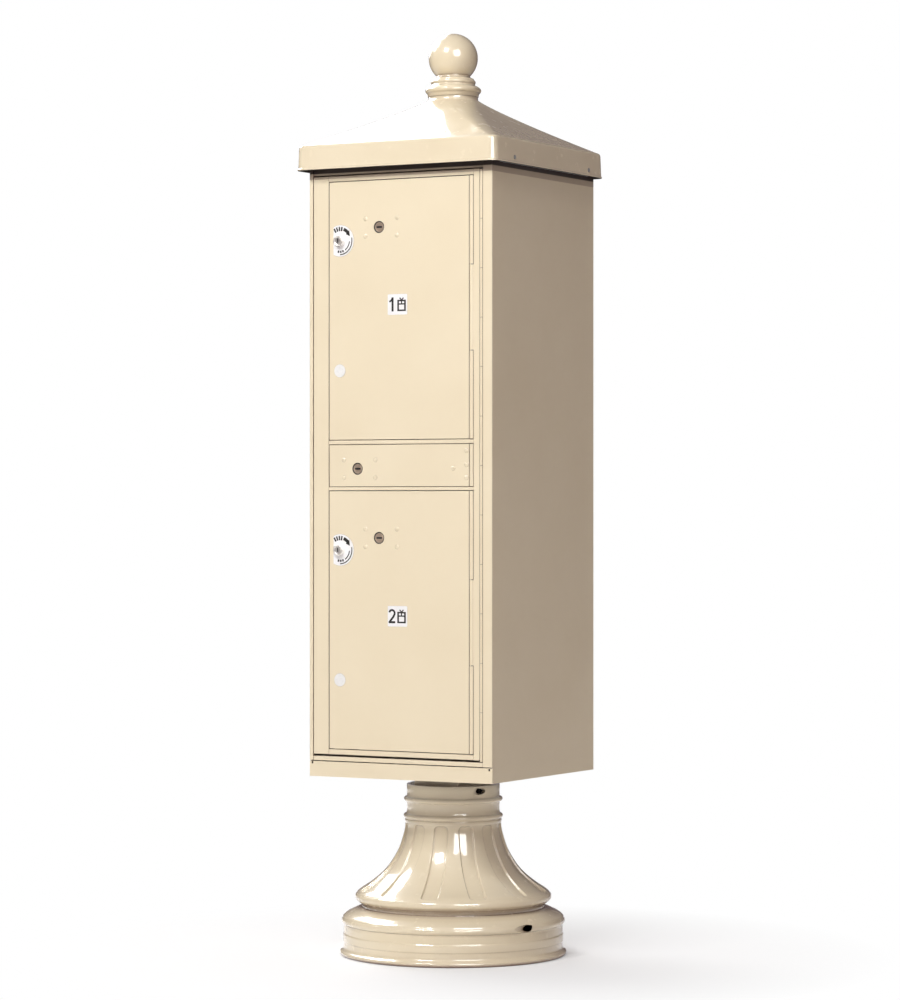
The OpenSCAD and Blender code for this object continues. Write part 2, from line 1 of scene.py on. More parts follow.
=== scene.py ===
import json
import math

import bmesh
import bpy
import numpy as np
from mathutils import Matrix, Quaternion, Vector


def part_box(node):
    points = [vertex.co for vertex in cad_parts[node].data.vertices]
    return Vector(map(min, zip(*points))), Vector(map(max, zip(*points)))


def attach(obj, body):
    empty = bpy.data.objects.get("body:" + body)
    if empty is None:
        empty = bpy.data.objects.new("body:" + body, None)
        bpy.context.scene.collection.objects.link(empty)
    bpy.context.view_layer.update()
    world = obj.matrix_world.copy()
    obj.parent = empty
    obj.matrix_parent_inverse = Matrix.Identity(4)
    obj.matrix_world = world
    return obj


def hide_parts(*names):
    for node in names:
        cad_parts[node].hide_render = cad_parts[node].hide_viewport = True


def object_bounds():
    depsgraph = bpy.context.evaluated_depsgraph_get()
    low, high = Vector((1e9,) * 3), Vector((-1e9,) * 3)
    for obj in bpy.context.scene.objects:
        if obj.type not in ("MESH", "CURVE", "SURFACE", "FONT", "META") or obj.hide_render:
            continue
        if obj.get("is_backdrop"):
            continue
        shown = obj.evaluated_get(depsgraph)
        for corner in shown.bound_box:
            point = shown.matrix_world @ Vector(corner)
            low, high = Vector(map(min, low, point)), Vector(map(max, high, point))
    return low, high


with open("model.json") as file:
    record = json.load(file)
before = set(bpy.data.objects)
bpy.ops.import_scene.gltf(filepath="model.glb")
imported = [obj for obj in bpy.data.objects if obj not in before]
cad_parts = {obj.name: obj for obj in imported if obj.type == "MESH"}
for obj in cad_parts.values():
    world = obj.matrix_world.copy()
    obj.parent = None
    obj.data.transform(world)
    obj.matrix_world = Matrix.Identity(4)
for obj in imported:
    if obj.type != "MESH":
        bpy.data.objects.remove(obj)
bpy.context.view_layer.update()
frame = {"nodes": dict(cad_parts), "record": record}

# %% [markdown]
# # A parcel locker on a pedestal
# The object is a sheet metal cabinet with one large master door. The master door carries two parcel
# doors, one above the other, with a lock panel between them. A hipped cap with a ball finial closes the
# top, and a cast, fluted cover hides the pedestal. The engineering model is already loaded, so every
# piece here is made in metres and in its real place.

MM = 0.001
record = frame["record"]

# %% [markdown]
# ## Where the eye stands
# A long lens from seven metres keeps the upright edges parallel. The camera is level, a little below
# the middle of the cabinet, and thirty degrees round to the right of the doors.

# %% Camera
scene = bpy.context.scene
camera_data = bpy.data.cameras.new("camera")
camera_data.sensor_fit = "AUTO"
camera_data.sensor_width = 36.0
camera_data.lens = 126.2
camera = bpy.data.objects.new("camera", camera_data)
camera.location = (3.5376, -6.1936, 0.9227)
camera.rotation_euler = (math.radians(90), 0, math.radians(29.787))
scene.collection.objects.link(camera)
scene.camera = camera

# %% [markdown]
# ## Helpers for node materials
# Every finish below is mixed from noise, so that no surface is one flat colour. The helpers keep those
# recipes short: one makes an empty material, one adds a noise texture in the piece's own metres, and
# one turns a noise value into a chosen range.

# %% Material helpers
def new_material(name):
    material = bpy.data.materials.new(name)
    material.use_nodes = True
    tree = material.node_tree
    return material, tree, tree.nodes["Principled BSDF"]


def add_noise(tree, scale, detail, stretch=(1, 1, 1)):
    coords = tree.nodes.new("ShaderNodeTexCoord")
    mapping = tree.nodes.new("ShaderNodeMapping")
    mapping.inputs["Scale"].default_value = stretch
    noise = tree.nodes.new("ShaderNodeTexNoise")
    noise.inputs["Scale"].default_value = scale
    noise.inputs["Detail"].default_value = detail
    tree.links.new(coords.outputs["Object"], mapping.inputs["Vector"])
    tree.links.new(mapping.outputs["Vector"], noise.inputs["Vector"])
    return noise.outputs["Fac"]


def to_range(tree, value, low, high, start=0.3, end=0.7):
    node = tree.nodes.new("ShaderNodeMapRange")
    node.inputs["From Min"].default_value = start
    node.inputs["From Max"].default_value = end
    node.inputs["To Min"].default_value = low
    node.inputs["To Max"].default_value = high
    tree.links.new(value, node.inputs["Value"])
    return node.outputs["Result"]


def blend_colours(tree, factor, first, second):
    node = tree.nodes.new("ShaderNodeMix")
    node.data_type = "RGBA"
    tree.links.new(factor, node.inputs["Factor"])
    for socket, colour in ((node.inputs[6], first), (node.inputs[7], second)):
        if isinstance(colour, tuple):
            socket.default_value = (*colour, 1)
        else:
            tree.links.new(colour, socket)
    return node.outputs[2]


def add_bump(tree, shader, height, strength, distance, below=None):
    node = tree.nodes.new("ShaderNodeBump")
    node.inputs["Strength"].default_value = strength
    node.inputs["Distance"].default_value = distance
    tree.links.new(height, node.inputs["Height"])
    if below is not None:
        tree.links.new(below, node.inputs["Normal"])
    tree.links.new(node.outputs["Normal"], shader.inputs["Normal"])
    return node.outputs["Normal"]

# %% [markdown]
# ## Cream powder coat
# The cabinet is powder coated: a baked plastic film with a satin sheen and a fine orange peel. A slow
# noise shifts the colour a little from place to place, as a coat of uneven thickness does. A quick
# noise makes the orange peel. Two occlusion terms, a wide one and a narrow one, paint shade into the
# colour in nooks and inside seams. Two more terms follow the height above the ground: the cap
# overhangs the cabinet, so a band right under it gets painted shade, and the last few millimetres
# get a near black painted shadow.

# %% Powder coat material
CREAM_LIGHT = (0.815, 0.722, 0.530)
CREAM_DEEP = (0.785, 0.688, 0.495)
SEAM_SHADE = (0.240, 0.165, 0.125)
NOOK_SHADE = (0.290, 0.205, 0.160)
CAP_SHADOW = (0.030, 0.020, 0.016)


def occlusion_share(tree, reach, low, high, most):
    occlusion = tree.nodes.new("ShaderNodeAmbientOcclusion")
    occlusion.inputs["Distance"].default_value = reach
    occlusion.samples = 8
    return to_range(tree, occlusion.outputs["AO"], most, 0.0, low, high)


def height_share(tree, start, end, most):
    """Grows from nothing to most between two heights above the ground."""
    coords = tree.nodes.new("ShaderNodeTexCoord")
    split = tree.nodes.new("ShaderNodeSeparateXYZ")
    tree.links.new(coords.outputs["Object"], split.inputs["Vector"])
    return to_range(tree, split.outputs["Z"], 0.0, most, start, end)


# Painted shade: the colour darkens in nooks and seams by ambient occlusion.
def seam_shading(tree, colour, reach):
    nook = occlusion_share(tree, 0.040, 0.20, 0.80, 0.90)
    seam = occlusion_share(tree, reach, 0.25, 0.85, 0.90)
    return blend_colours(tree, seam, blend_colours(tree, nook, colour, NOOK_SHADE), SEAM_SHADE)


# Heights above the ground in metres where the painted shade and the painted shadow under the cap begin.
cap_shade_band_foot = 1.5655
cap_shadow_foot = 1.5765


def make_powder_coat():
    material, tree, shader = new_material("cream_powder_coat")
    slow = to_range(tree, add_noise(tree, 5, 4), 0, 1)
    colour = blend_colours(tree, slow, CREAM_LIGHT, CREAM_DEEP)
    colour = seam_shading(tree, colour, 0.007)
    # Painted shade in a band under the cap's overhang, then a near black painted shadow right under its lip.
    cap_shade_band = height_share(tree, cap_shade_band_foot, cap_shade_band_foot + 0.001, 0.55)
    colour = blend_colours(tree, cap_shade_band, colour, SEAM_SHADE)
    cap_shadow = height_share(tree, cap_shadow_foot, cap_shadow_foot + 0.0015, 0.97)
    colour = blend_colours(tree, cap_shadow, colour, CAP_SHADOW)
    tree.links.new(colour, shader.inputs["Base Color"])
    tree.links.new(to_range(tree, add_noise(tree, 40, 2), 0.36, 0.46), shader.inputs["Roughness"])
    wave = add_bump(tree, shader, add_noise(tree, 14, 1), 0.10, 0.0006)
    add_bump(tree, shader, add_noise(tree, 750, 2), 0.16, 0.00025, wave)
    shader.inputs["Specular IOR Level"].default_value = 0.42
    return material

# %% [markdown]
# ## Gloss enamel
# The cap, the finial and the pedestal cover are castings with a thick, shiny enamel of the same colour.
# A clear coat gives the hard window reflections, and a slow, weak bump makes their edges swim a little,
# as they do on sprayed metal.

# %% Gloss enamel material
def make_gloss_enamel():
    material, tree, shader = new_material("cream_gloss_enamel")
    slow = to_range(tree, add_noise(tree, 9, 3), 0, 1)
    colour = blend_colours(tree, slow, CREAM_LIGHT, CREAM_DEEP)
    # Painted shade in nooks and seams, as on the powder coat.
    tree.links.new(seam_shading(tree, colour, 0.008), shader.inputs["Base Color"])
    tree.links.new(to_range(tree, add_noise(tree, 60, 2), 0.20, 0.28), shader.inputs["Roughness"])
    wave = add_bump(tree, shader, add_noise(tree, 26, 1), 0.06, 0.0006)
    add_bump(tree, shader, add_noise(tree, 500, 2), 0.03, 0.0001, wave)
    shader.inputs["Specular IOR Level"].default_value = 0.25
    shader.inputs["Coat Weight"].default_value = 1.0
    shader.inputs["Coat Roughness"].default_value = 0.01
    return material

# %% [markdown]
# ## Metals
# Five metals are used. Lock faces are satin nickel with a warm tone, and the tenant locks are brighter.
# Fasteners and hinge pins are zinc plated, which shows as small grey clouds, and the screws of the
# pedestal cover have a black oxide skin. The inner sheets keep the fine drawn lines of the rolling mill,
# made by a noise that is stretched along one axis. All but the nickel get painted shade that turns them
# dark in narrow places.

# %% Metal materials
METAL_SHADE = (0.020, 0.015, 0.012)


def make_metal(name, light, deep, rough, cloud_scale, stretch=(1, 1, 1), grain=500, shade_share=0.95):
    material, tree, shader = new_material(name)
    clouds = to_range(tree, add_noise(tree, cloud_scale, 4, stretch), 0, 1)
    # Painted shade: the metal turns near black in narrow places, by occlusion.
    nook = occlusion_share(tree, 0.120, 0.20, 0.80, shade_share)
    colour = blend_colours(tree, nook, blend_colours(tree, clouds, light, deep), METAL_SHADE)
    tree.links.new(colour, shader.inputs["Base Color"])
    tree.links.new(to_range(tree, clouds, rough[0], rough[1], 0, 1), shader.inputs["Roughness"])
    add_bump(tree, shader, add_noise(tree, grain, 2, stretch), 0.15, 0.0001)
    shader.inputs["Metallic"].default_value = 1.0
    return material

# %% [markdown]
# ## Plastic and print
# The spare hole plug is white moulded plastic. The number labels and the dial rings are printed vinyl:
# a white film with black ink, each a little uneven at close range.

# %% Plastic and print materials
def make_plastic(name, light, deep, rough, peel):
    material, tree, shader = new_material(name)
    clouds = to_range(tree, add_noise(tree, 90, 3), 0, 1)
    tree.links.new(blend_colours(tree, clouds, light, deep), shader.inputs["Base Color"])
    tree.links.new(to_range(tree, add_noise(tree, 200, 2), rough[0], rough[1]), shader.inputs["Roughness"])
    add_bump(tree, shader, add_noise(tree, 1200, 2), peel, 0.0001)
    return material


FINISHES = {
    "cream_powder_coat": make_powder_coat(),
    "cream_gloss_enamel": make_gloss_enamel(),
    "mill_aluminium": make_metal("mill_aluminium", (0.66, 0.66, 0.67), (0.56, 0.56, 0.57), (0.38, 0.5),
                                 30, (1, 30, 30), shade_share=0.4),
    "zinc_steel": make_metal("zinc_steel", (0.58, 0.58, 0.56), (0.42, 0.43, 0.43), (0.32, 0.45), 140),
    "black_steel": make_metal("black_steel", (0.03, 0.03, 0.03), (0.015, 0.015, 0.015), (0.45, 0.6), 200),
    "nickel_lock": make_metal("nickel_lock", (0.86, 0.70, 0.54), (0.74, 0.60, 0.46), (0.30, 0.40), 300,
                              shade_share=0.0),
    "bright_nickel": make_metal("bright_nickel", (0.97, 0.95, 0.91), (0.93, 0.91, 0.87), (0.30, 0.38), 200,
                                shade_share=0.0),
    "white_plastic": make_plastic("white_plastic", (0.86, 0.86, 0.84), (0.80, 0.80, 0.78), (0.25, 0.35),
                                  0.1),
    "white_print": make_plastic("white_print", (0.90, 0.90, 0.90), (0.86, 0.86, 0.85), (0.42, 0.5), 0.05),
}
# Black ink for the print, and also painted shade for the lock rims and key slots.
BLACK_INK_AND_SHADE = make_plastic("black_ink_and_shade", (0.012, 0.011, 0.010), (0.022, 0.020, 0.018), (0.4, 0.5), 0.1)
# Near black, as painted shade for the hollow under the cap.
CAP_INSIDE_SHADE = make_plastic("cap_inside_shade", (0.035, 0.026, 0.022), (0.022, 0.017, 0.014), (0.6, 0.8), 0.3)
print(len(FINISHES) + 2, "materials")

# %% [markdown]
# ## Which body and which finish a piece has
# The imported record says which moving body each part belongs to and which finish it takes. Two small
# tables turn that round, so that later cells can ask by the part's name.

# %% Tables from the record
BODY_OF = {node: body for body, nodes in record["behaviour"]["bodies"].items() for node in nodes}
SLOT_OF = {part["node"]: part["material_slot"] for part in record["subparts"]}


def add_piece(name, mesh, node, replaces=True):
    """Puts a mesh in the scene as a piece that rides with the body of a part."""
    slot = SLOT_OF[node]
    mesh.materials.clear()
    mesh.materials.append(FINISHES[slot])
    piece = bpy.data.objects.new(name, mesh)
    scene.collection.objects.link(piece)
    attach(piece, BODY_OF[node])
    if replaces:
        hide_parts(node)
    return piece


def smooth(mesh, angle):
    mesh.shade_smooth()
    bm = bmesh.new()
    bm.from_mesh(mesh)
    for edge in bm.edges:
        if len(edge.link_faces) == 2:
            edge.smooth = edge.calc_face_angle() < math.radians(angle)
    bm.to_mesh(mesh)
    bm.free()

# %% [markdown]
# ## Sheet metal and bars with eased edges
# A folded or cut sheet never has a razor edge: the fold has a radius, and the coat fills it. The
# engineering parts are sharp, so each one is copied, its flat faces are joined back into single faces,
# and every sharp edge gets a small round bevel. That bright line along an edge does more for
# realism than any texture.

# %% Ease the edges of the cabinet's parts
def eased_copy(node, radius):
    mesh = frame["nodes"][node].data.copy()
    bm = bmesh.new()
    bm.from_mesh(mesh)
    bmesh.ops.remove_doubles(bm, verts=bm.verts, dist=1e-6)
    bmesh.ops.dissolve_limit(bm, angle_limit=math.radians(0.5), verts=bm.verts, edges=bm.edges)
    sharp = [edge for edge in bm.edges
             if len(edge.link_faces) == 2 and edge.calc_face_angle() > math.radians(40)]
    bmesh.ops.bevel(bm, geom=sharp, offset=radius, segments=2, profile=0.5,
                    affect="EDGES", clamp_overlap=True)
    bm.to_mesh(mesh)
    bm.free()
    smooth(mesh, 50)
    piece = add_piece(node + "_eased", mesh, node)
    weighted = piece.modifiers.new("even_shading", "WEIGHTED_NORMAL")
    weighted.keep_sharp = True


SHEET_PARTS = {
    1.2: ["cabinet_side_left", "cabinet_side_right", "rear_panel", "front_post_left", "front_post_right",
          "header_rail", "sill_rail", "front_skirt", "door_stile_left", "door_stile_right",
          "door_rail_top", "door_rail_upper_mid", "door_rail_lower_mid", "door_rail_bottom",
          "lock_panel", "upper_door_panel", "lower_door_panel"],
    0.6: ["cabinet_floor", "top_panel", "shelf_lower", "shelf_upper", "lock_bay_floor", "shelf_brackets",
          "pedestal_post", "pedestal_top_plate", "pedestal_base_plate", "cap_support_rails"],
    0.4: ["master_latch_bar", "latch_guides", "master_hinge_cabinet_leaf", "master_hinge_door_leaf",
          "upper_carrier_lock_body", "lower_carrier_lock_body", "master_lock_body",
          "upper_carrier_lock_plug", "lower_carrier_lock_plug", "master_lock_plug",
          "upper_tenant_lock_plug", "lower_tenant_lock_plug",
          "pedestal_bolts", "base_cover_screws", "cap_screws", "finial_stud"],
}
for radius, nodes in SHEET_PARTS.items():
    for node in nodes:
        eased_copy(node, radius * MM)
print(sum(len(nodes) for nodes in SHEET_PARTS.values()), "parts with eased edges")

# %% [markdown]
# ## Turned and cast shapes
# The pedestal cover and the finial are round, so each is a profile spun round the axis. A profile is
# built from short runs: true arcs for beads and the ball, and a smooth curve through a few points for
# coves and flares. All sizes are in millimetres, as radius and height.

# %% Profile helpers
def arc(centre, radius, start, end, steps=12):
    angles = np.radians(np.linspace(start, end, steps + 1))
    return [(centre[0] + radius * math.cos(a), centre[1] + radius * math.sin(a)) for a in angles]


def curve_through(points, steps=8):
    """A smooth curve through the points, as a Catmull-Rom spline."""
    p = np.array([points[0]] + list(points) + [points[-1]], float)
    run = []
    for i in range(1, len(p) - 2):
        for t in np.linspace(0, 1, steps, endpoint=False):
            a, b, c, d = p[i - 1 : i + 3]
            run.append(tuple(0.5 * (2 * b + (c - a) * t + (2 * a - 5 * b + 4 * c - d) * t**2
                                    + (3 * b - a - 3 * c + d) * t**3)))
    return run + [tuple(points[-1])]


def lathe(name, rings, angles, poles=(False, False)):
    """Joins rings of (radius, height), each an array over the angles, into one closed skin."""
    count = len(angles)
    radii, heights = rings
    x = radii * np.sin(angles) * MM
    y = -radii * np.cos(angles) * MM
    verts = np.stack([x, y, heights * MM], -1).reshape(-1, 3)
    row_count = radii.shape[0]
    faces = []
    last = row_count - 1 if any(poles) else row_count
    for i in range(last):
        a, b = i * count, (i + 1) % row_count * count
        faces += [(a + j, b + j, b + (j + 1) % count, a + (j + 1) % count) for j in range(count)]
    mesh = bpy.data.meshes.new(name)
    mesh.from_pydata([tuple(v) for v in verts], [], faces)
    bm = bmesh.new()
    bm.from_mesh(mesh)
    bmesh.ops.remove_doubles(bm, verts=bm.verts, dist=1e-7)
    bmesh.ops.recalc_face_normals(bm, faces=bm.faces)
    bm.to_mesh(mesh)
    bm.free()
    return mesh


def lathe_profile(name, profile, columns, poles=(False, False)):
    points = np.array(profile)
    angles = np.linspace(0, 2 * math.pi, columns, endpoint=False)
    radii = np.repeat(points[:, :1], columns, 1)
    heights = np.repeat(points[:, 1:], columns, 1)
    return lathe(name, (radii, heights), angles, poles)

# %% [markdown]
# ## The fluted bell
# The upper casting of the pedestal cover flares from a collar to a wide lip. Twelve shallow flutes run
# down the flare, with an arched head and a square foot with round corners. A boolean cut would leave a
# ragged edge on such a curve, so the flutes are pressed into the mesh itself: each point knows how far
# it lies inside the flute's outline and sinks along the surface normal by a soft step. The columns of
# the mesh crowd together where the flute's sides run, to keep that step crisp. The collar's two screw
# pockets are drilled afterwards, at a slant, by a boolean with two rods.

# %% Bell profile and flutes
collar_run = [(88.0, 345.6), (89.4, 347.0), (93.1, 347.0), (94.5, 345.6), (94.5, 336), (94.5, 323.5),
              (94.9, 321.6)]
upper_bead = arc((95.7, 316), 4.8, 75, -75)
neck_cove = curve_through([(95.4, 310.2), (94.3, 304), (94.3, 294), (95.6, 288.0)], 5)
lower_bead = arc((96.2, 282), 4.8, 70, -70)
under_bead = curve_through([(97.6, 276.4), (98.4, 274.5), (98.4, 270.5), (97.9, 268.5)], 3)
flare_run = curve_through([(97.9, 268), (98.5, 256), (103, 238), (110, 217), (121, 196), (135, 176),
                           (151, 160), (171, 144.3), (187, 134), (195, 127.6)], 22)
lip_run = arc((190.2, 118.4), 9.6, 58, -62)
cove_run = curve_through([(193.6, 108.4), (189, 105.6), (186.6, 102), (186.2, 98.2)], 5)
bell_outside = collar_run + upper_bead + neck_cove + lower_bead + under_bead + flare_run + lip_run + cove_run
bell_inside = curve_through([(180.6, 98.2), (180.6, 110), (184, 119), (165, 139), (146, 155.5), (130, 171),
                             (118, 187), (107, 206), (100, 226), (95, 244), (91, 262), (88, 280),
                             (88, 310), (88, 340)], 4)

FLUTES = 12
flute_depth = 3.9
flute_edge = 2.2
head_half, foot_half = 15.6, 18.2
head_corner = 10.0
foot_corner = 7.0


def flute_sink(across, along, length):
    """How deep the surface sinks at a point, from its distance inside the flute's outline."""
    half = head_half + (foot_half - head_half) * np.clip(along / length, 0, 1)
    off_side = half - np.abs(across)
    inside = np.minimum(off_side, np.minimum(along, length - along))
    for corner, off_end in ((head_corner, along), (foot_corner, length - along)):
        rounded = corner - np.hypot(corner - off_side, corner - off_end)
        inside = np.where((off_side < corner) & (off_end < corner), rounded, inside)
    t = np.clip(inside / flute_edge, 0, 1)
    return flute_depth * t * t * (3 - 2 * t)


def crowded_columns():
    sector = 360 / FLUTES
    spans = [(-sector / 2, -9.6, 4), (-9.6, -4.6, 17), (-4.6, 4.6, 6), (4.6, 9.6, 17), (9.6, sector / 2, 4)]
    local = np.concatenate([np.linspace(a, b, n, endpoint=False) for a, b, n in spans])
    return np.radians(np.concatenate([sector / 2 + i * sector + local for i in range(FLUTES)]))


def make_bell():
    points = np.array(bell_outside + bell_inside)
    angles = crowded_columns()
    steps = np.diff(points, axis=0, append=points[-1:])
    normals = np.stack([-steps[:, 1], steps[:, 0]], 1)
    normals /= np.maximum(np.linalg.norm(normals, axis=1, keepdims=True), 1e-9)
    travelled = np.concatenate([[0], np.cumsum(np.linalg.norm(np.diff(points, axis=0), axis=1))])
    first = len(bell_outside) - len(flare_run) - len(lip_run) - len(cove_run)
    along = (travelled - travelled[first])[:, None]
    length = travelled[first + len(flare_run) - 1] - travelled[first] - 4.0
    sector = 2 * math.pi / FLUTES
    local = (angles % sector) - sector / 2
    across = points[:, :1] * local[None, :]
    sink = flute_sink(across, along, length)
    sink[(along[:, 0] < 0) | (along[:, 0] > length)] = 0
    radii = points[:, :1] - normals[:, :1] * sink
    heights = points[:, 1:] - normals[:, 1:] * sink
    return lathe("base_cover_bell_cast", (radii, heights), angles)


def drill(mesh, radius, azimuth, wall, z, slant, beyond):
    """Cuts two screw pockets, half a turn apart, that enter at a slant and end a little beyond the spot."""
    part = bpy.data.objects.new("drilled", mesh)
    scene.collection.objects.link(part)
    bits = bpy.data.meshes.new("bits")
    bm = bmesh.new()
    for turn in (0, 180):
        a = math.radians(azimuth + turn)
        outward = Vector((math.sin(a), -math.cos(a), 0))
        onward = Vector((math.cos(a), math.sin(a), 0))
        aim = onward * math.cos(math.radians(slant)) - outward * math.sin(math.radians(slant))
        spot = outward * wall * MM + aim * (beyond - 35) * MM + Vector((0, 0, z * MM))
        place = Matrix.Translation(spot) @ aim.to_track_quat("Z", "Y").to_matrix().to_4x4()
        bmesh.ops.create_cone(bm, cap_ends=True, segments=48, radius1=radius * MM, radius2=radius * MM,
                              depth=70 * MM, matrix=place)
    bm.to_mesh(bits)
    bm.free()
    tool = bpy.data.objects.new("drill_bits", bits)
    scene.collection.objects.link(tool)
    cut = part.modifiers.new("cut", "BOOLEAN")
    cut.operation = "DIFFERENCE"
    cut.solver = "EXACT"
    cut.object = tool
    bpy.context.view_layer.update()
    result = bpy.data.meshes.new_from_object(part.evaluated_get(bpy.context.evaluated_depsgraph_get()))
    bpy.data.objects.remove(part)
    bpy.data.objects.remove(tool)
    return result


bell_mesh = drill(make_bell(), radius=6.7, azimuth=66, wall=91.5, z=336, slant=24, beyond=16)
smooth(bell_mesh, 60)
add_piece("base_cover_bell_cast", bell_mesh, "base_cover_bell")
print("bell has", len(bell_mesh.polygons), "faces")

# %% [markdown]
# ## The plinth
# Below the bell a low drum stands on the ground. It has a rounded shoulder, a bead, two faint steps and
# a bead at its foot. It is one profile, spun.

# %% Plinth
plinth_profile = (
    [(181, 98), (186.8, 98)]
    + curve_through([(188.5, 97.6), (196, 95), (205, 91), (213, 87.2), (220, 82.6), (224.2, 78.6)], 4)
    + arc((219.2, 70.6), 7.8, 48, -68)
    + curve_through([(222.3, 62.6), (222.0, 60), (222.4, 57)], 3)
    + [(222.6, 46), (222.8, 44.8), (223.8, 43.8), (224.0, 42.6), (224.0, 30), (223.8, 28.8), (222.9, 27.8),
       (222.7, 26.6)]
    + curve_through([(222.7, 20), (223.2, 15.5), (225.4, 12.0)], 4)
    + arc((224.9, 5.7), 5.5, 62, -80)
    + [(225, 0), (217.6, 0), (217, 0.6), (217, 60)]
    + curve_through([(217, 66), (213, 77), (201, 86), (188, 91.5), (181, 93.5)], 4)
)
plinth_skin = lathe_profile("base_cover_plinth_cast", plinth_profile, 192)
plinth_mesh = drill(plinth_skin, radius=7.7, azimuth=72, wall=220.5, z=71.5, slant=17, beyond=20)
smooth(plinth_mesh, 60)
add_piece("base_cover_plinth_cast", plinth_mesh, "base_cover_plinth")

# %% [markdown]
# ## The finial
# Two beads and a neck carry a ball. The ball has to be a true arc, because its mirror-like enamel shows
# every flat spot.

# %% Finial
finial_profile = (
    [(0, 1790), (6.1, 1790), (6.1, 1741), (50.8, 1741), (51.6, 1741.8), (52.0, 1746.5)]
    + arc((50.4, 1754.6), 6.4, -62, 58)
    + curve_through([(53.2, 1760.6), (50, 1762.6), (45.6, 1764.6), (44.2, 1766.6)], 4)
    + arc((40.9, 1771.6), 4.7, -42, 62)
    + curve_through([(42.4, 1776.4), (41.4, 1778.6), (37.6, 1780.2), (34.8, 1782.4), (34.3, 1784.6)], 4)
    + arc((0, 1821), 50, -46.5, 90, 56)
)
finial_mesh = lathe_profile("finial_turned", finial_profile, 128, (True, True))
smooth(finial_mesh, 60)
add_piece("finial_turned", finial_mesh, "finial")

# %% [markdown]
# ## The hipped cap
# The cap is a pyramid that turns from a square with round corners at the eaves into a circle under the
# finial. It is lofted: each level is a rounded rectangle whose corner radius grows with height until
# it is all corner. The roof line sags a little, so its run is a power curve and not a straight line.
# An inner skin four millimetres in closes the shell. Faces that look down or inwards are near black,
# painted shade for the deep hollow under the cap.

# %% Cap
cap_low, cap_high = (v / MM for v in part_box("roof_cap"))
cap_half = cap_high.x
eaves_z = 1631.0
roof_top = cap_high.z
CORNER_STEPS, SIDE_STEPS = 14, 10


def level(half, front, back, corner, z):
    """One closed level of the cap, starting at the front right corner."""
    corners = [(half - corner, front + corner, -90), (half - corner, back - corner, 0),
               (-half + corner, back - corner, 90), (-half + corner, front + corner, 180)]
    ring = []
    for i, (cx, cy, start) in enumerate(corners):
        bend = arc((cx, cy), corner, start, start + 90, CORNER_STEPS)
        nx, ny, nstart = corners[(i + 1) % 4]
        goal = arc((nx, ny), corner, nstart, nstart + 90, 1)[0]
        sides = np.linspace(0, 1, SIDE_STEPS, endpoint=False)[1:]
        ring += bend + [(bend[-1][0] + (goal[0] - bend[-1][0]) * t,
                         bend[-1][1] + (goal[1] - bend[-1][1]) * t) for t in sides]
    return [(x * MM, y * MM, z * MM) for x, y in ring]


def cap_level(inset, z, corner=18.5):
    return level(cap_half - inset, cap_low.y + inset, cap_high.y - inset, max(corner - inset, 2), z)


def roof_level(u, inset):
    run = max(0.0, 1 - u / 0.94) ** 1.15
    z = eaves_z + 3.6 + (roof_top - eaves_z - 3.6) * u - inset
    top = 50.0 - inset
    half = top + (cap_half - 7.5 - 50.0) * run
    front = -top + (cap_low.y + 7.5 + 50.0) * run
    back = top + (cap_high.y - 7.5 - 50.0) * run
    corner = 14.0 + (top - 14.0) * u ** 0.9
    return level(half, front, back, min(corner, top - 0.01), z)


def make_cap():
    lip = [cap_level(3.6, 1583.6), cap_level(0.5, 1583.5), cap_level(0.0, 1584.1), cap_level(0.0, 1586.2),
           cap_level(0.5, 1587.0), cap_level(1.4, 1587.6)]
    fascia = [cap_level(1.5 + 1.4 * t, 1588.5 + (eaves_z - 5 - 1588.5) * t) for t in np.linspace(0, 1, 5)]
    eaves = [cap_level(2.9 + 4.6 * (1 - math.cos(a)), eaves_z - 5 + 8.2 * math.sin(a))
             for a in np.radians(np.linspace(12, 84, 7))]
    roof = [roof_level(u, 0) for u in np.linspace(0, 1, 34)]
    hole_outer = [(6.5 * MM * math.sin(a), -6.5 * MM * math.cos(a)) for a in ring_angles(roof[-1])]
    top_ring = [(x, y, roof_top * MM) for x, y in hole_outer]
    under_ring = [(x, y, (roof_top - 4) * MM) for x, y in hole_outer]
    inner_roof = [roof_level(u, 4.0) for u in np.linspace(1, 0, 20)]
    inner_wall = [cap_level(6.9, eaves_z - 4), cap_level(4.6, 1588)]
    return lip + fascia + eaves + roof + [top_ring, under_ring] + inner_roof + inner_wall


def ring_angles(ring):
    return [math.atan2(x, -y) for x, y, z in ring]


def loft(name, rings):
    count = len(rings[0])
    faces = []
    for i in range(len(rings)):
        a, b = i * count, (i + 1) % len(rings) * count
        faces += [(a + j, a + (j + 1) % count, b + (j + 1) % count, b + j) for j in range(count)]
    mesh = bpy.data.meshes.new(name)
    mesh.from_pydata([v for ring in rings for v in ring], [], faces)
    bm = bmesh.new()
    bm.from_mesh(mesh)
    bmesh.ops.remove_doubles(bm, verts=bm.verts, dist=1e-7)
    bmesh.ops.recalc_face_normals(bm, faces=bm.faces)
    bm.to_mesh(mesh)
    bm.free()
    return mesh


cap_mesh = loft("roof_cap_cast", make_cap())
smooth(cap_mesh, 60)
add_piece("roof_cap_cast", cap_mesh, "roof_cap")
# Painted shade: faces that look down or inwards take a near black material.
cap_mesh.materials.append(CAP_INSIDE_SHADE)
for polygon in cap_mesh.polygons:
    outward = polygon.center.x * polygon.normal.x + polygon.center.y * polygon.normal.y
    if polygon.normal.z < -0.2 or outward < 0:
        polygon.material_index = 1

# %% [markdown]
# ## Round fittings on the doors
# A tenant lock stands proud of the door as a bright barrel with a turned edge. The spare hole beside it
# is closed by a domed plastic plug. Both are small lathe work, spun along the door's depth, so the
# lathe's result is laid over to face the front.

